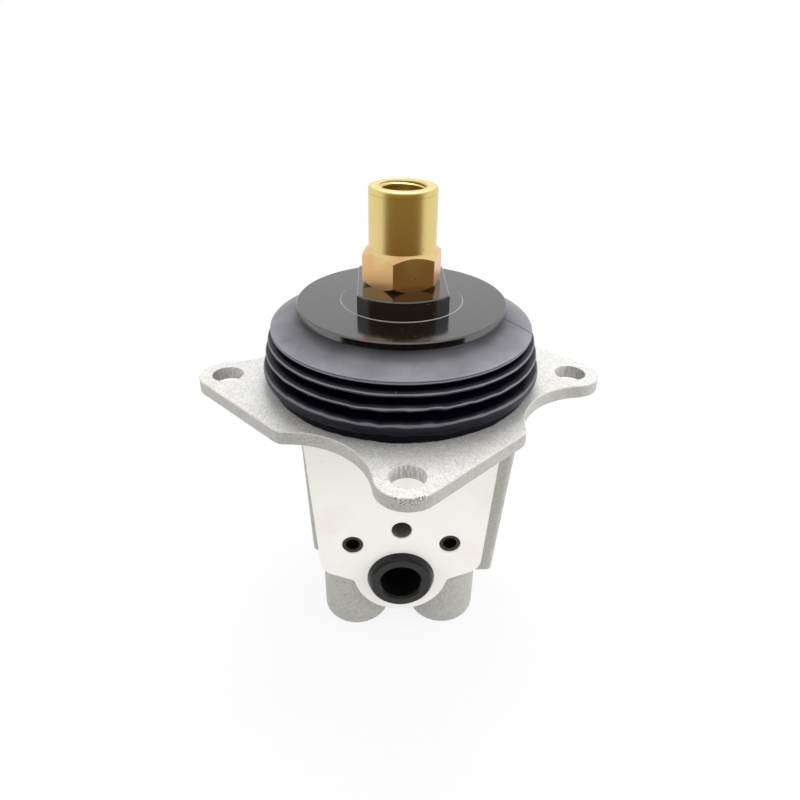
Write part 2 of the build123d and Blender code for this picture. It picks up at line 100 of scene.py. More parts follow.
# ---------------------------------------------------------------- shader sums
class Value:
    """Output of a shader node that can be used in Python sums."""

    def __init__(self, wiring, socket):
        self.wiring = wiring
        self.socket = socket

    def __add__(self, other):
        return self.wiring.math("ADD", self, other)

    def __radd__(self, other):
        return self.wiring.math("ADD", other, self)

    def __sub__(self, other):
        return self.wiring.math("SUBTRACT", self, other)

    def __rsub__(self, other):
        return self.wiring.math("SUBTRACT", other, self)

    def __mul__(self, other):
        return self.wiring.math("MULTIPLY", self, other)

    def __truediv__(self, other):
        return self.wiring.math("DIVIDE", self, other)

    def __lt__(self, other):
        return self.wiring.math("LESS_THAN", self, other)

    def __gt__(self, other):
        return self.wiring.math("GREATER_THAN", self, other)


class Wiring:
    """Node tree of a material or of the world."""

    def __init__(self, tree):
        self.tree = tree

    def node(self, kind, settings, sockets, output=0):
        """New node of a kind: first its settings, then the values or links of its sockets."""
        made = self.tree.nodes.new(kind)
        for name, value in settings.items():
            if name == "stops":
                self.set_stops(made.color_ramp, value)
            else:
                setattr(made, name, value)
        self.plug(made, sockets)
        return Value(self, made.outputs[output])

    def plug(self, made, sockets):
        """Values or links of a node's sockets."""
        for name, value in sockets.items():
            if isinstance(value, Value):
                self.tree.links.new(value.socket, made.inputs[name])
            else:
                made.inputs[name].default_value = value

    @staticmethod
    def set_stops(ramp, stops):
        """Colours of a ramp, each as (place, (red, green, blue))."""
        while len(ramp.elements) < len(stops):
            ramp.elements.new(1)
        for element, (place, colour) in zip(ramp.elements, stops):
            element.position = place
            element.color = (*colour, 1)

    def math(self, operation, *values):
        """One sum on numbers."""
        return self.node("ShaderNodeMath", {"operation": operation}, dict(enumerate(values)))

    def axes(self, place):
        """The X, Y and Z of a place."""
        return [self.node("ShaderNodeSeparateXYZ", {}, {0: place}, axis) for axis in range(3)]

    def step(self, value, low, high):
        """Smooth step: 0 below low and 1 above high."""
        return self.node(
            "ShaderNodeMapRange",
            {"interpolation_type": "SMOOTHSTEP"},
            {"Value": value, "From Min": low, "From Max": high},
        )

    def noise(self, place, size, detail=2.0, stretch=(1, 1, 1)):
        """Noise whose grains are about one size, drawn out along the axes by stretch."""
        scale = [1 / size / share for share in stretch]
        turned = self.node("ShaderNodeMapping", {}, {"Vector": place, "Scale": scale})
        return self.node("ShaderNodeTexNoise", {}, {"Vector": turned, "Scale": 1.0, "Detail": detail})

    def distance(self, u, v):
        """Length of the side opposite a right angle."""
        return self.math("SQRT", u * u + v * v)

    def within(self, value, reach):
        """1 where a value is less than reach from nought, with a soft edge."""
        return self.step(self.math("ABSOLUTE", value), reach, reach * 0.6)

    def specks(self, place, size, share):
        """Small round specks, one to a cell, that cover about a share of the cells."""
        turned = self.node("ShaderNodeMapping", {}, {"Vector": place, "Scale": [1 / size] * 3})
        return self.step(
            self.node("ShaderNodeTexVoronoi", {}, {"Vector": turned, "Scale": 1.0}), share, share / 2
        )

    def tint(self, share, first, second, blend_type="MIX"):
        """Colour between two colours."""
        settings = {"data_type": "RGBA", "blend_type": blend_type}
        return self.node("ShaderNodeMix", settings, {0: share, 6: first, 7: second}, 2)

    def darken(self, colour, shade):
        """Colour multiplied by another."""
        return self.tint(1.0, colour, shade, "MULTIPLY")

    def ramp(self, value, stops):
        """Colour read from a ramp."""
        return self.node("ShaderNodeValToRGB", {"stops": stops}, {"Fac": value})


class Finish(Wiring):
    """A material, with its Principled surface."""

    def __init__(self, name):
        self.material = bpy.data.materials.new(name)
        self.material.use_nodes = True
        super().__init__(self.material.node_tree)
        self.surface = self.tree.nodes["Principled BSDF"]

    def place(self):
        """Place on the object, in metres."""
        return self.node("ShaderNodeTexCoord", {}, {}, "Object")

    def up(self):
        """Height part of the surface's direction: 1 on a level top, 0 on an upright wall."""
        return self.axes(self.node("ShaderNodeNewGeometry", {}, {}, "Normal"))[2]

    def rest_place(self):
        """Place on the undeformed rubber, kept on the piece itself."""
        return self.node("ShaderNodeAttribute", {"attribute_name": REST_PLACE}, {}, "Vector")

    def bump(self, height, depth):
        """Relief as deep as depth, in metres, where the height is 1."""
        return self.node("ShaderNodeBump", {}, {"Height": height, "Distance": depth, "Strength": 1.0})

    def shade(self, **sockets):
        """Sets the surface's sockets; Base_Color stands for Base Color."""
        self.plug(self.surface, {name.replace("_", " "): value for name, value in sockets.items()})
        return self.material


def rgb(colour):
    """Colour with its alpha, as sockets want it."""
    return (*colour, 1)


def scaled(colour, share):
    """Colour made darker or lighter by a share."""
    return tuple(min(1.0, part * share) for part in colour)


# ---------------------------------------------------------------- settings
def colour_setting(name, description, default):
    """Colour, as linear red, green and blue."""
    return bpy.props.FloatVectorProperty(
        name=name, description=description, default=default, size=3, min=0, max=1, subtype="COLOR"
    )


def length_setting(name, description, default):
    """Length in metres."""
    return bpy.props.FloatProperty(
        name=name, description=description, default=default, min=0, unit="LENGTH", subtype="DISTANCE"
    )


def angle_setting(name, description, degrees):
    """Angle, given in degrees and kept in radians."""
    return bpy.props.FloatProperty(
        name=name, description=description, default=radians(degrees), unit="ROTATION", subtype="ANGLE"
    )


def power_setting(name, default):
    """Power of a lamp in watts."""
    return bpy.props.FloatProperty(
        name=name, description="Power of the " + name.lower(), default=default, min=0, subtype="POWER"
    )


class ValveCastingSettings(bpy.types.PropertyGroup):
    """Cast and machined aluminium of the body."""

    skin: colour_setting("Skin", "Colour of the blasted top of the flange", (0.75, 0.742, 0.722))
    # Painted shade: this colour darkens cast faces the more upright they stand, standing in for the light
    # they miss.
    shaded_walls: colour_setting("Walls", "How much darker the cast walls are than the top", (0.50, 0.50, 0.485))
    machined: colour_setting("Machined", "Colour of the milled front pad", (0.79, 0.785, 0.757))
    stain: colour_setting("Stain", "Faint stains on the milled pad", (0.74, 0.66, 0.59))
    grain: length_setting("Grain", "Size of the sand grain", 0.00034)
    grain_depth: length_setting("Grain depth", "Depth of the sand grain", 0.00010)
    ear_distance: length_setting("Ear distance", "From the lever axis to the middle of an ear hole", 0.05657)
    ear_hole: length_setting("Ear hole", "Radius of an ear hole", 0.005)
    ear_radius: length_setting("Ear radius", "Outer radius of an ear", 0.0092)
    drilling: length_setting("Drilling", "Radius of the plain drilling in the pad", 0.00335)
    drilling_depth: length_setting("Drilling depth", "Of the plain drilling below the flange", 0.0388)
    pad_face: length_setting("Pad face", "From the lever axis to the milled front pad", 0.0285)


class ValveNutSettings(bpy.types.PropertyGroup):
    """Yellow passivated coupling nut."""

    gold: colour_setting("Gold", "Main colour of the yellow passivation", (0.80, 0.59, 0.27))
    rose: colour_setting("Rose", "Pinkish bloom low on the barrel", (0.78, 0.475, 0.215))
    olive: colour_setting("Olive", "Greenish bloom high on the barrel", (0.75, 0.62, 0.24))
    flats: length_setting("Across flats", "Width of the hexagon across its flats", 0.0218)
    hexagon: length_setting("Hexagon", "Height of the hexagon", 0.0106)
    hexagon_turn: angle_setting("Hexagon turn", "Turn of a corner of the hexagon from the X axis", 16)
    barrel: length_setting("Barrel", "Radius of the barrel", 0.0101)
    stud_bore: length_setting("Stud bore", "Radius of the bore over the stud", 0.00705)
    pitch: length_setting("Thread pitch", "Pitch of the lever thread", 0.0015)
    thread_major: length_setting("Thread radius", "Major radius of the lever thread", 0.007)
    port_pitch: length_setting("Port pitch", "Pitch of the threads in the work ports", 0.00134)


class ValveDiscSettings(bpy.types.PropertyGroup):
    """Cam disc and its hub."""

    black: colour_setting("Black", "Colour of the disc", (0.002, 0.002, 0.0026))
    hub_height: length_setting("Hub height", "Height of the hub above the disc", 0.006)
    step_radius: length_setting("Step radius", "Radius of the low step round the hub", 0.0189)
    step_height: length_setting("Step height", "Height of the low step round the hub", 0.0002)


class ValveRubberSettings(bpy.types.PropertyGroup):
    """Rubber boot."""

    # Near-black of the rubber, left bare in the folds and low down as painted shade.
    black: colour_setting("Black", "Colour of the rubber in its folds", (0.0015, 0.0015, 0.004))
    # Grey bloom, partly real and partly painted light: it keeps the exposed dome lighter than the folds.
    bloom: colour_setting("Bloom", "Greyish bloom on the dome", (0.285, 0.287, 0.31))
    # Painted highlight: the pleats' outer edges are made lighter where they catch the light.
    lip_highlight: colour_setting("Lip", "Colour of the pleats' outer edges", (0.18, 0.18, 0.205))
    waver: length_setting("Waver", "How far the lips stray from round", 0.0005)


class ValveStageSettings(bpy.types.PropertyGroup):
    """Floor, lamps and camera."""

    floor_colour: colour_setting("Floor", "Colour of the floor", (0.9, 0.9, 0.9))
    back_power: power_setting("Back lamp", 4.2)
    left_power: power_setting("Left lamp", 4.4)
    right_power: power_setting("Right lamp", 8.4)
    front_power: power_setting("Front lamp", 3.6)
    camera_distance: length_setting("Distance", "From the camera to the point it aims at", 0.22365)
    camera_height: angle_setting("Height", "Angle of the camera above the horizon", 30.17)
    camera_turn: angle_setting("Turn", "Angle of the camera round the object", 2.286)
    camera_roll: angle_setting("Roll", "Roll of the camera", 0.858)


# ---------------------------------------------------------------- hand work on pieces
def clear_selection():
    """Leaves no piece selected."""
    bpy.ops.object.select_all(action="DESELECT")


def edit(piece):
    """Opens one piece in edit mode with nothing selected."""
    clear_selection()
    piece.select_set(True)
    bpy.context.view_layer.objects.active = piece
    bpy.ops.object.mode_set(mode="EDIT")
    bpy.ops.mesh.select_all(action="DESELECT")


def lone_point(name, place):
    """New piece of a single point, open in edit mode with the point selected."""
    clear_selection()
    bpy.ops.mesh.primitive_plane_add(size=1, location=place)
    piece = bpy.context.object
    piece.name = name
    edit(piece)
    bpy.ops.mesh.select_all(action="SELECT")
    bpy.ops.mesh.merge(type="CENTER")
    return piece


def turned_ring(name, profile, segments):
    """Ring drawn up through a closed profile of (radius, height), one extrusion to a point."""
    clear_selection()
    radius, height = profile[0]
    bpy.ops.mesh.primitive_circle_add(vertices=segments, radius=radius, location=(0, 0, height))
    piece = bpy.context.object
    piece.name = name
    bpy.ops.object.transform_apply()
    bpy.ops.object.mode_set(mode="EDIT")
    bpy.ops.mesh.select_all(action="SELECT")
    for (r0, z0), (r1, z1) in zip(profile, profile[1:] + profile[:1]):
        bpy.ops.mesh.extrude_region_move(TRANSFORM_OT_translate={"value": (0, 0, z1 - z0)})
        bpy.ops.transform.resize(value=(r1 / r0, r1 / r0, 1), center_override=(0, 0, z1))
    bpy.ops.mesh.select_all(action="SELECT")
    bpy.ops.mesh.remove_doubles(threshold=0.00001)
    bpy.ops.mesh.normals_make_consistent(inside=False)
    bpy.ops.object.mode_set(mode="OBJECT")
    return piece


def helical_bar(name, section, start, pitch, turns, steps):
    """Bar wound round an upright line through start; section holds its (radius, height) corners."""
    clear_selection()
    bpy.ops.mesh.primitive_circle_add(vertices=len(section), radius=1, location=(0, 0, 0))
    bar = bpy.context.object
    bar.name = name
    for vertex, (radius, height) in zip(bar.data.vertices, section):
        vertex.co = (radius, 0, height)
    add_modifier(
        bar, "SCREW", angle=2 * pi, screw_offset=pitch, iterations=turns, steps=steps, render_steps=steps,
        use_normal_calculate=True,
    )
    edit(bar)
    bpy.ops.mesh.select_all(action="SELECT")
    bpy.ops.mesh.remove_doubles(threshold=0.000001)
    bpy.ops.mesh.fill_holes(sides=len(section))
    bpy.ops.mesh.select_all(action="SELECT")
    bpy.ops.mesh.normals_make_consistent(inside=False)
    bpy.ops.transform.translate(value=start)
    bpy.ops.object.mode_set(mode="OBJECT")
    return bar


def add_modifier(piece, kind, **settings):
    """Adds a modifier and applies it."""
    clear_selection()
    piece.select_set(True)
    bpy.context.view_layer.objects.active = piece
    modifier = piece.modifiers.new(kind.title(), kind)
    for name, value in settings.items():
        setattr(modifier, name, value)
    bpy.ops.object.modifier_apply(modifier=modifier.name)


def smooth(piece, angle=radians(30)):
    """Shades a piece smooth, with edges sharper than the angle left crisp."""
    clear_selection()
    piece.select_set(True)
    bpy.context.view_layer.objects.active = piece
    bpy.ops.object.shade_smooth_by_angle(angle=angle)


def in_sections(*parts):
    """Names of the CAD nodes of some parts in all four sections."""
    return [f"{part}_{number}" for part in parts for number in SECTIONS]


def paint(node_names, material):
    """Gives CAD nodes their finish."""
    for name in node_names:
        node = frame["nodes"][name]
        node.data.materials.clear()
        node.data.materials.append(material)


def finish_piece(piece, material):
    """Gives a new piece its finish."""
    piece.data.materials.clear()
    piece.data.materials.append(material)


# ---------------------------------------------------------------- operators
class VALVE_OT_casting(bpy.types.Operator):
    """Cast body: sand grain, milled front pad and bores"""

    bl_idname = "valve.casting"
    bl_label = "Cast body"

    def execute(self, context):
        look = context.scene.valve_casting
        cast = Finish("cast_aluminium")
        place = cast.place()
        _, y, z = cast.axes(place)
        grain = cast.noise(place, look.grain, 3.0)
        lumps = cast.noise(place, look.grain * 5, 2.0)
        cloud = cast.noise(place, 0.016, 3.0)
        cutter_marks = cast.noise(place, 0.00035, 2.0, (40, 1, 1))
        pad = (y < 0.0005 - look.pad_face) * (z < -EDGE)
        skin = self.skin(cast, place, look, grain * 0.8 + lumps * 0.2)
        milled = self.milled(cast, place, look, cloud, cutter_marks)
        relief = cast.bump((grain + lumps * 0.5) * (1 - pad) + cutter_marks * pad * 0.08, look.grain_depth)
        material = cast.shade(
            Base_Color=cast.tint(pad, skin, milled),
            Metallic=0.22,
            Roughness=0.55 - pad * 0.1 + (cloud - 0.5) * 0.15,
            Normal=relief,
        )
        paint(["valve_body"], material)
        self.gate_mark(look)
        return {"FINISHED"}

    @classmethod
    def skin(cls, cast, place, look, tone):
        """Blasted skin, with painted shade on the upright faces and inside the front drilling, scored ear
        holes and a few pits.
        """
        x, y, z = cast.axes(place)
        # Painted shade: upright faces take the darker colour, level tops the full skin colour.
        level = cast.step(cast.up(), 0.5, 0.9)
        shaded_walls = cast.tint(level, rgb(look.shaded_walls), rgb((1, 1, 1)))
        stops = [(0.30, scaled(look.skin, 0.58)), (0.5, look.skin), (0.7, scaled(look.skin, 1.22))]
        skin = cast.darken(cast.ramp(tone, stops), shaded_walls)
        scores = cast.noise(place, 0.0003, 3.0, (1, 1, 9))
        scored = cast.ramp(scores, [(0.3, scaled(look.skin, 0.4)), (0.7, look.skin)])
        skin = cast.tint(cls.ear_holes(cast, look, x, y) * (z > EDGE), skin, scored)
        # Painted shade: the walls of the plain front drilling are darkened to a dark brown.
        drilling_shade = (cast.distance(x, z + look.drilling_depth) < look.drilling + 2 * EDGE) * (y < 0)
        skin = cast.tint(drilling_shade * 0.75, skin, rgb((0.12, 0.10, 0.085)))
        return cast.tint(cast.specks(place, 0.0021, 0.10) * 0.5, skin, rgb(scaled(look.skin, 0.35)))

    @staticmethod
    def ear_holes(cast, look, x, y):
        """1 on the walls of the four ear holes."""
        beside, ahead = cast.math("ABSOLUTE", x), cast.math("ABSOLUTE", y)
        along = cast.math("MAXIMUM", beside, ahead) - look.ear_distance
        across = cast.math("MINIMUM", beside, ahead)
        return cast.distance(along, across) < look.ear_hole + EDGE

    @staticmethod
    def milled(cast, place, look, cloud, cutter_marks):
        """Milled pad with faint stains, cutter marks and a few pores."""
        stains = cast.step(cloud, 0.5, 0.78) * 0.45
        milled = cast.tint(stains, rgb(look.machined), rgb(look.stain))
        milled = cast.tint(cast.step(cutter_marks, 0.4, 0.8) * 0.12, milled, rgb(look.stain))
        return cast.tint(cast.specks(place, 0.0052, 0.035) * 0.8, milled, rgb(scaled(look.stain, 0.3)))

    @staticmethod
    def gate_mark(look):
        """Rough lens on the front ear's tip where the casting was broken from its gate."""
        low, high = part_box("valve_body")
        reach, drop, rows = radians(31), 0.0021, 12
        half_width = look.ear_radius * sin(reach)
        front = -look.ear_distance - look.ear_radius * cos(reach)
        mark = lone_point("gate_mark", (-half_width, front, high.z - drop))
        for _ in range(rows):
            bpy.ops.mesh.extrude_region_move(TRANSFORM_OT_translate={"value": (0, 0, (drop - EDGE) / rows)})
        bpy.ops.mesh.select_all(action="SELECT")
        bpy.ops.mesh.spin(steps=72, angle=-2 * reach, center=(0, -look.ear_distance, 0), axis=(0, 0, 1))
        bpy.ops.object.mode_set(mode="OBJECT")
        bpy.ops.object.transform_apply()
        for vertex in mark.data.vertices:
            across = vertex.co.x / half_width
            vertex.select = high.z - vertex.co.z > drop * (1 - across * across)
        bpy.ops.object.mode_set(mode="EDIT")
        bpy.ops.mesh.delete(type="VERT")
        bpy.ops.mesh.select_all(action="SELECT")
        bpy.ops.transform.vertex_random(offset=0.00022, uniform=1.0, seed=4)
        bpy.ops.mesh.normals_make_consistent(inside=False)
        bpy.ops.object.mode_set(mode="OBJECT")
        add_modifier(mark, "SOLIDIFY", thickness=0.0005, offset=-0.7)
        for vertex in mark.data.vertices:
            vertex.co.y = max(vertex.co.y, low.y - 0.00002)
        finish_piece(mark, fracture(look))
        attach(mark, "root")


def fracture(look):
    """Torn metal with bright facets."""
    torn = Finish("gate_fracture")
    place = torn.place()
    facets = torn.noise(place, 0.00045, 3.0)
    stops = [(0.34, scaled(look.skin, 0.35)), (0.5, scaled(look.skin, 0.85)), (0.62, (0.95, 0.95, 0.93))]
    return torn.shade(
        Base_Color=torn.ramp(facets, stops), Metallic=0.6, Roughness=0.4, Normal=torn.bump(facets, 0.0002)
    )


class VALVE_OT_threaded_nut(bpy.types.Operator):
    """Coupling nut with its lever thread cut in"""

    bl_idname = "valve.threaded_nut"
    bl_label = "Threaded nut"

    def execute(self, context):
        look = context.scene.valve_nut
        low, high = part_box("coupling_nut")
        nut = self.blank(look, low.z, high.z)
        cutter = self.thread_cutter(look, low.z + 0.0125, high.z + look.pitch)
        add_modifier(nut, "BOOLEAN", object=cutter, operation="DIFFERENCE", solver="EXACT")
        bpy.data.objects.remove(cutter)
        smooth(nut)
        finish_piece(nut, self.yellow_zinc(look))
        self.port_threads(look)
        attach(nut, "lever")
        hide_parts("coupling_nut")
        return {"FINISHED"}

    @staticmethod
    def blank(look, bottom, top):
        """Turned and bored blank with its hexagon milled on."""
        corner = look.flats / 2 / cos(radians(30))
        barrel, bore = look.barrel, look.stud_bore
        minor = look.thread_major - look.pitch * 0.54
        shoulder = bottom + look.hexagon
        profile = [
            (bore, bottom), (corner - 0.0015, bottom), (corner, bottom + 0.0015),
            (corner, shoulder - (corner - barrel) * 0.7536), (barrel, shoulder),
            (barrel, top - 0.00182), (barrel - 0.0001, top - 0.00176),
            (barrel - 0.0001, top - 0.00170), (barrel, top - 0.00164),
        ]
        rounding = 0.0008
        for quarter in range(7):
            angle = quarter * pi / 12
            profile.append((barrel - rounding * (1 - cos(angle)), top - rounding * (1 - sin(angle))))
        mouth = look.thread_major + 0.0001
        drop = top - (mouth - minor)
        profile += [(mouth, top), (minor, drop), (minor, drop - 0.014), (bore, drop - 0.014)]
        nut = turned_ring("threaded_nut", profile, 192)
        clear_selection()
        bpy.ops.mesh.primitive_cylinder_add(
            vertices=6, radius=corner, depth=(top - bottom) * 1.2, location=(0, 0, (top + bottom) / 2),
            rotation=(0, 0, look.hexagon_turn - radians(30)),
        )
        hexagon = bpy.context.object
        add_modifier(hexagon, "BEVEL", width=0.00018, segments=2)
        add_modifier(nut, "BOOLEAN", object=hexagon, operation="INTERSECT", solver="EXACT")
        bpy.data.objects.remove(hexagon)
        return nut

    @staticmethod
    def thread_cutter(look, bottom, top):
        """Helical bar with a flat nose that cuts the lever thread's groove."""
        minor = look.thread_major - 0.00095
        half_root, half_crest = look.pitch * 0.44, look.pitch * 0.07
        section = [
            (minor, -half_root), (look.thread_major, -half_crest),
            (look.thread_major, half_crest), (minor, half_root),
        ]
        turns = round((top - bottom) / look.pitch)
        return helical_bar("thread_cutter", section, (0, 0, bottom), look.pitch, turns, 48)

    @staticmethod
    def port_threads(look):
        """Thread ridges inside the four work ports."""
        steel = Finish("port_thread")
        scores = steel.noise(steel.place(), 0.0004, 3.0)
        colour = steel.ramp(scores, [(0.3, (0.35, 0.35, 0.34)), (0.7, (0.72, 0.72, 0.70))])
        relief = steel.bump(scores, 0.00001)
        bright = steel.shade(Base_Color=colour, Metallic=0.8, Roughness=0.35, Normal=relief)
        ports = [mount for mount in frame["record"]["mounts"] if mount["name"].startswith("work_port")]
        for number, port in enumerate(ports, 1):
            x, y, z = port["pos_m"]
            radius, length = port["dims"]["r_mm"] * MM, port["dims"]["length_mm"] * MM
            pitch = look.port_pitch
            section = [(radius, -pitch * 0.42), (radius - pitch * 0.4, 0), (radius, pitch * 0.42)]
            turns = int(length / pitch) - 1
            bottom = z - length / 2 + pitch * 0.6
            ridge = helical_bar(f"port_thread_{number}", section, (x, y, bottom), pitch, turns, 32)
            finish_piece(ridge, bright)
            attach(ridge, "root")

    @staticmethod
    def yellow_zinc(look):
        """Satin yellow passivation with a rose and olive bloom."""
        zinc = Finish("yellow_zinc")
        low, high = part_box("coupling_nut")
        place = zinc.place()
        height = (zinc.axes(place)[2] - low.z) / (high.z - low.z)
        bloom = zinc.noise(place, 0.009, 3.0)
        fleck = zinc.noise(place, 0.0005, 3.0)
        share = bloom * 0.7 + height * 0.42 - 0.02
        colour = zinc.ramp(share, [(0.38, look.rose), (0.5, look.gold), (0.74, look.olive)])
        colour = zinc.tint(zinc.step(fleck, 0.55, 0.8) * 0.3, colour, rgb(scaled(look.rose, 0.7)))
        colour = zinc.tint(zinc.specks(place, 0.0055, 0.05) * 0.85, colour, rgb((0.05, 0.035, 0.02)))
        turned_lines = zinc.noise(place, 0.0003, 1.0, (40, 40, 1))
        relief = zinc.bump(turned_lines * 0.5 + fleck, 0.000004)
        roughness = 0.33 + (fleck - 0.5) * 0.1 + (bloom - 0.5) * 0.1
        return zinc.shade(Base_Color=colour, Metallic=1.0, Roughness=roughness, Normal=relief)


class VALVE_OT_cam_disc(bpy.types.Operator):
    """Black cam disc and hub, with the low turned step round the hub"""

    bl_idname = "valve.cam_disc"
    bl_label = "Cam disc"

    def execute(self, context):
        _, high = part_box("cam_disc")
        look = context.scene.valve_disc
        top = high.z - look.hub_height
        rim, rise, inner = look.step_radius, look.step_height, 0.012
        black = self.black_gloss(look)
        paint(["cam_disc"], black)
        profile = [
            (inner, top), (rim, top), (rim, top + rise / 2),
            (rim - rise / 2, top + rise), (inner, top + rise),
        ]
        step = turned_ring("hub_step", profile, 256)
        smooth(step)
        finish_piece(step, black)
        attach(step, "lever")
        return {"FINISHED"}

    @staticmethod
    def black_gloss(look):
        """Glossy black with faint scuffs, dust and a bare edge on the step."""
        black = Finish("black_gloss")
        place = black.place()
        x, y, _ = black.axes(place)
        radius = black.distance(x, y)
        scuffs = black.noise(place, 0.0011, 4.0)
        lathe = black.noise(place, 0.0004, 2.0)
        dust = black.specks(place, 0.0028, 0.06)
        colour = black.tint(dust * 0.6, rgb(look.black), rgb((0.30, 0.30, 0.31)))
        colour = black.tint(black.step(scuffs, 0.62, 0.85) * 0.2, colour, rgb((0.05, 0.05, 0.052)))
        edge = black.within(radius - look.step_radius, 0.00016)
        colour = black.tint(edge * 0.7, colour, rgb((0.42, 0.42, 0.43)))
        relief = black.bump(scuffs + lathe * 0.3, 0.000003)
        return black.shade(
            Base_Color=colour,
            Roughness=0.13 + black.step(scuffs, 0.5, 0.85) * 0.16 + edge * 0.25,
            Normal=relief,
            IOR=2.1,
        )


class VALVE_OT_boot(bpy.types.Operator):
    """Pleated rubber boot, split at its upper valley"""

    bl_idname = "valve.boot"
    bl_label = "Boot"

    def execute(self, context):
        look = context.scene.valve_rubber
        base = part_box("boot")[0].z
        rubber = self.rubber(look, base)
        lower = [
            (38.8, 0.0), (41.5, 0.0), (41.6, 0.3), (41.6, 2.6), (42.3, 3.1), (43.3, 3.6), (43.85, 4.3),
            (44.0, 5.3), (43.97, 6.5), (43.8, 7.1), (43.3, 7.4),
            (42.2, 7.6), (40.4, 8.0), (39.1, 8.5), (38.6, 9.1),
            (39.1, 9.7), (40.9, 10.25), (42.3, 10.65),
            (42.85, 10.9), (43.0, 11.3), (42.93, 11.7), (42.5, 11.95),
            (41.4, 12.15), (39.6, 12.5), (38.3, 12.9), (37.9, 13.4),
            (38.3, 13.85), (40.0, 14.3), (41.3, 14.65),
            (41.85, 14.9), (42.0, 15.3), (41.93, 15.7), (41.5, 15.95),
            (40.4, 16.15), (38.9, 16.45), (37.8, 16.8), (37.4, 17.2), (36.2, 17.2), (36.2, 10.0), (36.2, 4.2),
            (36.9, 3.8), (38.8, 3.8),
        ]
        upper = [
            (36.3, 16.5), (37.2, 16.5), (37.4, 17.2),
            (37.8, 17.6), (39.3, 17.75), (40.4, 17.85), (40.88, 18.0),
            (41.0, 18.25), (40.86, 18.5), (40.6, 18.62),
            (40.82, 18.78), (40.93, 19.0), (40.8, 19.25), (40.4, 19.5),
            (39.6, 19.8), (38.0, 20.3), (36.0, 21.0), (34.0, 21.7),
            (32.2, 22.3), (30.7, 22.8), (29.8, 23.2), (29.5, 22.6), (29.6, 21.4), (31.5, 20.8), (34.0, 19.9),
            (35.8, 19.0), (36.3, 18.0),
        ]
        pieces = []
        for name, profile in (("boot_lower", lower), ("boot_upper", upper)):
            ring = [(r * MM, base + h * MM) for r, h in profile]
            piece = turned_ring(name, ring, 192)
            add_modifier(piece, "SUBSURF", levels=1, render_levels=1)
            self.waver(piece, look, base)
            self.keep_rest_place(piece)
            smooth(piece, pi)
            finish_piece(piece, rubber)
            pieces.append(piece)
        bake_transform(pieces[0])
        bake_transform(pieces[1])
        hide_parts("boot")
        return {"FINISHED"}

    @staticmethod
    def waver(piece, look, base):
        """Lets the lips stray a little from round, most of all low on the front."""
        front = piece.vertex_groups.new(name="wavering_lips")
        for vertex in piece.data.vertices:
            x, y, z = vertex.co
            radius = hypot(x, y)
            outward = min(1.0, max(0.0, (radius - 0.0395) / 0.002))
            low_down = min(1.0, max(0.1, (base + 0.019 - z) / 0.008))
            faces_front = max(0.0, -y / radius - 0.35) / 0.65
            front.add([vertex.index], outward * low_down * (0.12 + faces_front), "REPLACE")
        folds = bpy.data.textures.new(piece.name + "_waver", "CLOUDS")
        folds.noise_scale = 0.0055
        folds.noise_depth = 1
        add_modifier(
            piece, "DISPLACE", texture=folds, strength=look.waver * 2, mid_level=0.5, direction="Z",
            vertex_group=front.name,
        )

    @staticmethod
    def keep_rest_place(piece):
        """Keeps each point's place on the piece, so that the finish moves with the rubber."""
        kept = piece.data.attributes.new(REST_PLACE, "FLOAT_VECTOR", "POINT")
        for point, vertex in zip(kept.data, piece.data.vertices):
            point.vector = vertex.co

    @staticmethod
    def rubber(look, base):
        """Satin rubber: grey bloom on the dome, partly real and partly painted light; painted highlights on
        the lips; folds and base left near-black as painted shade; and a mould seam on the right.
        """
        rubber = Finish("boot_rubber")
        place = rubber.rest_place()
        x, y, z = rubber.axes(place)
        radius = rubber.distance(x, y)
        rise = z - base
        outer = 0.04518 - rise * 0.222
        # Painted highlight on the pleats' outer edges, strongest where they face up.
        lit_crest = rubber.within(rubber.up() - 0.55, 0.4)
        edge = rubber.step(radius - outer, -0.0014, -0.0004) * (0.16 + lit_crest * 0.84)
        # The dome, the top of the boot, takes the bloom colour, partly as painted light.
        dome = rubber.step(rise + radius * 0.37, 0.0338, 0.0346)
        cloud = rubber.noise(place, 0.011, 4.0)
        pores = rubber.noise(place, 0.0004, 3.0)
        smears = rubber.noise(place, 0.004, 3.0, (2.5, 1, 1))
        # The painted highlight fades out low on the boot, which leaves painted shade just above the flange.
        colour = rubber.tint(edge * rubber.step(rise, 0.0035, 0.009), rgb(look.black), rgb(look.lip_highlight))
        colour = rubber.tint(dome * (0.86 + (cloud - 0.5) * 0.9), colour, rgb(look.bloom))
        colour = rubber.tint(rubber.step(smears, 0.62, 0.8) * dome * 0.25, colour, rgb((0.24, 0.24, 0.255)))
        colour = rubber.tint(rubber.specks(place, 0.0062, 0.035) * 0.6, colour, rgb((0.5, 0.5, 0.5)))
        turn = rubber.math("ARCTAN2", y, x)
        off_seam = (turn + 0.209 + (radius - 0.0325) * 7.5) * radius
        seam = rubber.within(off_seam, 0.00022)
        colour = rubber.tint(seam * 0.92, colour, rgb((0.001, 0.001, 0.001)))
        relief = rubber.bump(pores * 0.12 - seam, 0.00025)
        return rubber.shade(
            Base_Color=colour, Roughness=0.4 + (cloud - 0.5) * 0.2 + seam * 0.3, Normal=relief, IOR=1.2
        )


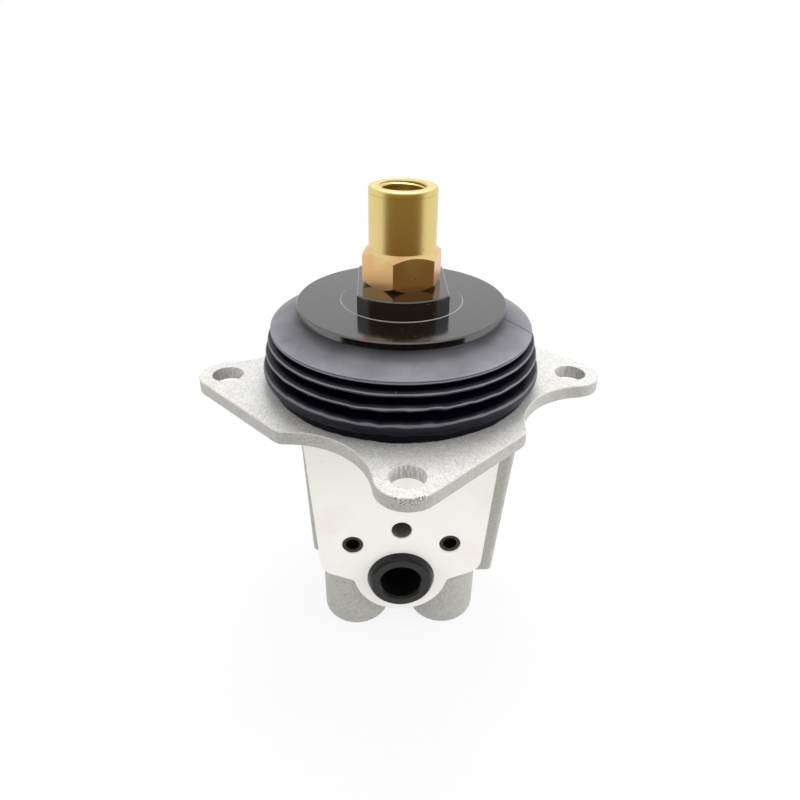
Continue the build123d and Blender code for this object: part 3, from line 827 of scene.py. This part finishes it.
class VALVE_OT_plugs(bpy.types.Operator):
    """Plastic port plugs, gallery plugs and the gallery ball"""

    bl_idname = "valve.plugs"
    bl_label = "Plugs"

    def execute(self, context):
        ports = ["front_port_plug", "side_port_plug"]
        galleries = ["gallery_plug_left", "gallery_plug_right"]
        rows = [
            ("black_plastic", (0.006, 0.006, 0.0075), 0.0009, 0.22, 0.15, {"IOR": 1.42}, ports),
            ("black_plug", (0.008, 0.0075, 0.0075), 0.0006, 0.25, 0.2, {}, galleries),
        ]
        for name, colour, size, roughness, swing, more, nodes in rows:
            plug = Finish(name)
            wear = plug.noise(plug.place(), size, 4.0)
            relief = plug.bump(wear, 0.00001)
            roughened = roughness + wear * swing
            paint(nodes, plug.shade(Base_Color=rgb(colour), Roughness=roughened, Normal=relief, **more))
        copper = Finish("copper")
        wear = copper.noise(copper.place(), 0.0008, 4.0)
        colour = copper.ramp(wear, [(0.3, (0.05, 0.04, 0.03)), (0.7, (0.15, 0.11, 0.08))])
        paint(["gallery_ball"], copper.shade(Base_Color=colour, Metallic=0.8, Roughness=0.35 + wear * 0.2))
        return {"FINISHED"}


class VALVE_OT_mechanism(bpy.types.Operator):
    """Joint, plungers, bushes, seals, springs and spools"""

    bl_idname = "valve.mechanism"
    bl_label = "Mechanism"

    def execute(self, context):
        joint = ["lower_yoke", "upper_yoke", "joint_block"]
        ground = ["long_pin", "short_pin_left", "short_pin_right"]
        ground += in_sections("plunger", "spring_seat", "spool")
        rows = [
            ("zinc_plate", (0.62, 0.63, 0.65), 1.0, 0.3, ["retaining_plate"]),
            ("joint_steel", (0.33, 0.33, 0.34), 1.0, 0.38, joint),
            ("ground_steel", (0.6, 0.6, 0.61), 1.0, 0.2, ground),
            ("bronze", (0.55, 0.38, 0.2), 1.0, 0.3, in_sections("guide_bush")),
            ("seal_rubber", (0.02, 0.02, 0.02), 0.0, 0.5, in_sections("rod_seal", "bush_o_ring")),
            ("spring_steel", (0.4, 0.4, 0.42), 1.0, 0.3, in_sections("return_spring", "metering_spring")),
        ]
        for name, colour, metallic, roughness, nodes in rows:
            finish = Finish(name)
            place = finish.place()
            wear = finish.noise(place, 0.0008, 4.0)
            tone = finish.ramp(wear, [(0.3, scaled(colour, 0.8)), (0.7, scaled(colour, 1.15))])
            material = finish.shade(
                Base_Color=tone, Metallic=metallic, Roughness=roughness + wear * 0.15 - 0.07,
                Normal=finish.bump(wear, 0.00001),
            )
            paint(nodes, material)
        return {"FINISHED"}


class VALVE_OT_stage(bpy.types.Operator):
    """White floor, soft lamps, world and camera"""

    bl_idname = "valve.stage"
    bl_label = "Stage"

    def execute(self, context):
        look = context.scene.valve_stage
        clear_selection()
        bpy.ops.mesh.primitive_plane_add(size=6.0, location=(0, 0, CAD_LOW.z))
        floor = context.object
        floor.name = "floor"
        floor.data.materials.append(self.floor_material(look))
        self.sky(context)
        self.dark_card()
        for name, place, size, power in LAMPS:
            self.lamp(name, place, size, getattr(look, power))
        self.camera(context, look)
        context.scene.view_settings.view_transform = "Standard"
        return {"FINISHED"}

    @staticmethod
    def dark_card():
        """Glowing card in front of the object, out of the camera's sight, that only mirrors show: a painted
        reflection, near-black close in and brown farther off.
        """
        near, depth, height, reach = 0.12, 0.68, 0.7, radians(65)
        card = lone_point("dark_card", (0, 0, CAD_LOW.z + MM))
        bpy.ops.transform.translate(value=(0, -near, 0))
        bpy.ops.transform.rotate(value=reach, orient_axis="Z", center_override=(0, 0, 0))
        bpy.ops.object.mode_set(mode="OBJECT")
        corner = card.data.vertices[0].co.normalized()
        edit(card)
        bpy.ops.mesh.select_all(action="SELECT")
        bpy.ops.mesh.extrude_region_move(TRANSFORM_OT_translate={"value": tuple(corner * depth)})
        bpy.ops.mesh.extrude_region_move(TRANSFORM_OT_translate={"value": (0, 0, height)})
        bpy.ops.mesh.select_all(action="SELECT")
        turn = -2 * reach if corner.x < 0 else 2 * reach
        bpy.ops.mesh.spin(steps=28, angle=turn, center=(0, 0, 0), axis=(0, 0, 1))
        bpy.ops.object.mode_set(mode="OBJECT")
        bpy.ops.object.transform_apply()
        brown = Finish("dark_card")
        x, y, _ = brown.axes(brown.place())
        # Painted reflection colour: near-black close to the object, brown farther off.
        away = brown.step(brown.distance(x, y), 0.36, 0.46)
        colour = brown.tint(away, rgb((0.02, 0.013, 0.007)), rgb((0.36, 0.25, 0.11)))
        glow = brown.node("ShaderNodeEmission", {}, {"Color": colour, "Strength": 1.0})
        brown.tree.links.new(glow.socket, brown.tree.nodes["Material Output"].inputs["Surface"])
        card.data.materials.append(brown.material)
        card.visible_camera = card.visible_diffuse = card.visible_shadow = card.visible_transmission = False

    @staticmethod
    def seen(wiring):
        """1 for what the camera, a mirror or glass shows, and 0 for light that falls on things."""
        camera, mirror, glass = (
            wiring.node("ShaderNodeLightPath", {}, {}, f"Is {kind} Ray")
            for kind in ("Camera", "Glossy", "Transmission")
        )
        return wiring.math("MAXIMUM", wiring.math("MAXIMUM", camera, mirror), glass)

    def floor_material(self, look):
        """White floor that keeps a soft shadow."""
        floor = Finish("floor_white")
        floor.shade(Base_Color=rgb(look.floor_colour), Roughness=0.9)
        glow = floor.node("ShaderNodeEmission", {}, {"Color": (1, 1, 1, 1), "Strength": 1.0})
        x, y, _ = floor.axes(floor.place())
        near_white = 0.86  # share of pure white in the floor at the object; farther off it is all white
        far = floor.step(floor.distance(x, y), 0.12, 0.5)
        share = self.seen(floor) * (near_white + far * (1 - near_white))
        painted = Value(floor, floor.surface.outputs[0])
        mixed = floor.node("ShaderNodeMixShader", {}, {0: share, 1: painted, 2: glow})
        floor.tree.links.new(mixed.socket, floor.tree.nodes["Material Output"].inputs["Surface"])
        return floor.material

    def sky(self, context):
        """White surroundings: pure white where seen, and softer as light, most of all from the front."""
        world = bpy.data.worlds.new("studio")
        world.use_nodes = True
        context.scene.world = world
        sky = Wiring(world.node_tree)
        back = sky.axes(sky.node("ShaderNodeTexCoord", {}, {}, "Generated"))[1]
        front_light, back_light = 0.5, 0.72
        light = front_light + sky.step(back, -0.5, 0.4) * (back_light - front_light)
        seen = self.seen(sky)
        strength = light * (1 - seen) + seen
        sky.plug(world.node_tree.nodes["Background"], {"Color": (1, 1, 1, 1), "Strength": strength})

    @staticmethod
    def lamp(name, place, size, power):
        """Square soft lamp that points at the object; mirrors show it only if it stands behind."""
        turn = (-Vector(place)).to_track_quat("-Z", "Y").to_euler()
        bpy.ops.object.light_add(type="AREA", location=place, rotation=turn)
        lamp = bpy.context.object
        lamp.name = name
        lamp.data.shape = "SQUARE"
        lamp.data.size = size
        lamp.data.energy = power
        lamp.visible_glossy = place[1] > 0

    @staticmethod
    def camera(context, look):
        """Camera above the front face, looking down at the flange."""
        height, turn, roll = look.camera_height, look.camera_turn, look.camera_roll
        ahead = Vector((cos(height) * sin(turn), cos(height) * cos(turn), -sin(height)))
        right = ahead.cross(Vector((0, 0, 1))).normalized()
        up = right.cross(ahead)
        across = cos(roll) * right + sin(roll) * up
        upward = cos(roll) * up - sin(roll) * right
        bpy.ops.object.camera_add()
        camera = context.object
        camera.name = "camera"
        turned = Matrix((across, upward, -ahead)).transposed().to_4x4()
        camera.matrix_world = Matrix.Translation(CAMERA_AIM - ahead * look.camera_distance) @ turned
        camera.data.lens, camera.data.sensor_width = CAMERA_LENS, CAMERA_SENSOR
        camera.data.clip_start, camera.data.clip_end = 0.01, 20.0
        context.scene.camera = camera


class VALVE_PT_looks(bpy.types.Panel):
    """Lists the pieces and their settings"""

    bl_label = "Pilot joystick valve"
    bl_space_type = "VIEW_3D"
    bl_region_type = "UI"
    bl_category = "Valve"

    def draw(self, context):
        for operator in OPERATORS:
            self.layout.operator(operator.bl_idname)
        for group in SETTINGS:
            box = self.layout.box()
            for name in SETTINGS[group].__annotations__:
                box.prop(getattr(context.scene, group), name)


SETTINGS = {
    "valve_casting": ValveCastingSettings,
    "valve_nut": ValveNutSettings,
    "valve_disc": ValveDiscSettings,
    "valve_rubber": ValveRubberSettings,
    "valve_stage": ValveStageSettings,
}
OPERATORS = (
    VALVE_OT_stage,
    VALVE_OT_casting,
    VALVE_OT_threaded_nut,
    VALVE_OT_cam_disc,
    VALVE_OT_boot,
    VALVE_OT_plugs,
    VALVE_OT_mechanism,
)


def register():
    """Adds the settings, the operators and the panel."""
    for kind in (*SETTINGS.values(), *OPERATORS, VALVE_PT_looks):
        bpy.utils.register_class(kind)
    for group, kind in SETTINGS.items():
        setattr(bpy.types.Scene, group, bpy.props.PointerProperty(type=kind))


def unregister():
    """Takes them out again."""
    for group in SETTINGS:
        delattr(bpy.types.Scene, group)
    for kind in (VALVE_PT_looks, *reversed(OPERATORS), *SETTINGS.values()):
        bpy.utils.unregister_class(kind)


def main():
    """Makes the stage and every piece."""
    register()
    for operator in OPERATORS:
        family, name = operator.bl_idname.split(".")
        getattr(getattr(bpy.ops, family), name)()


if __name__ == "__main__":
    main()
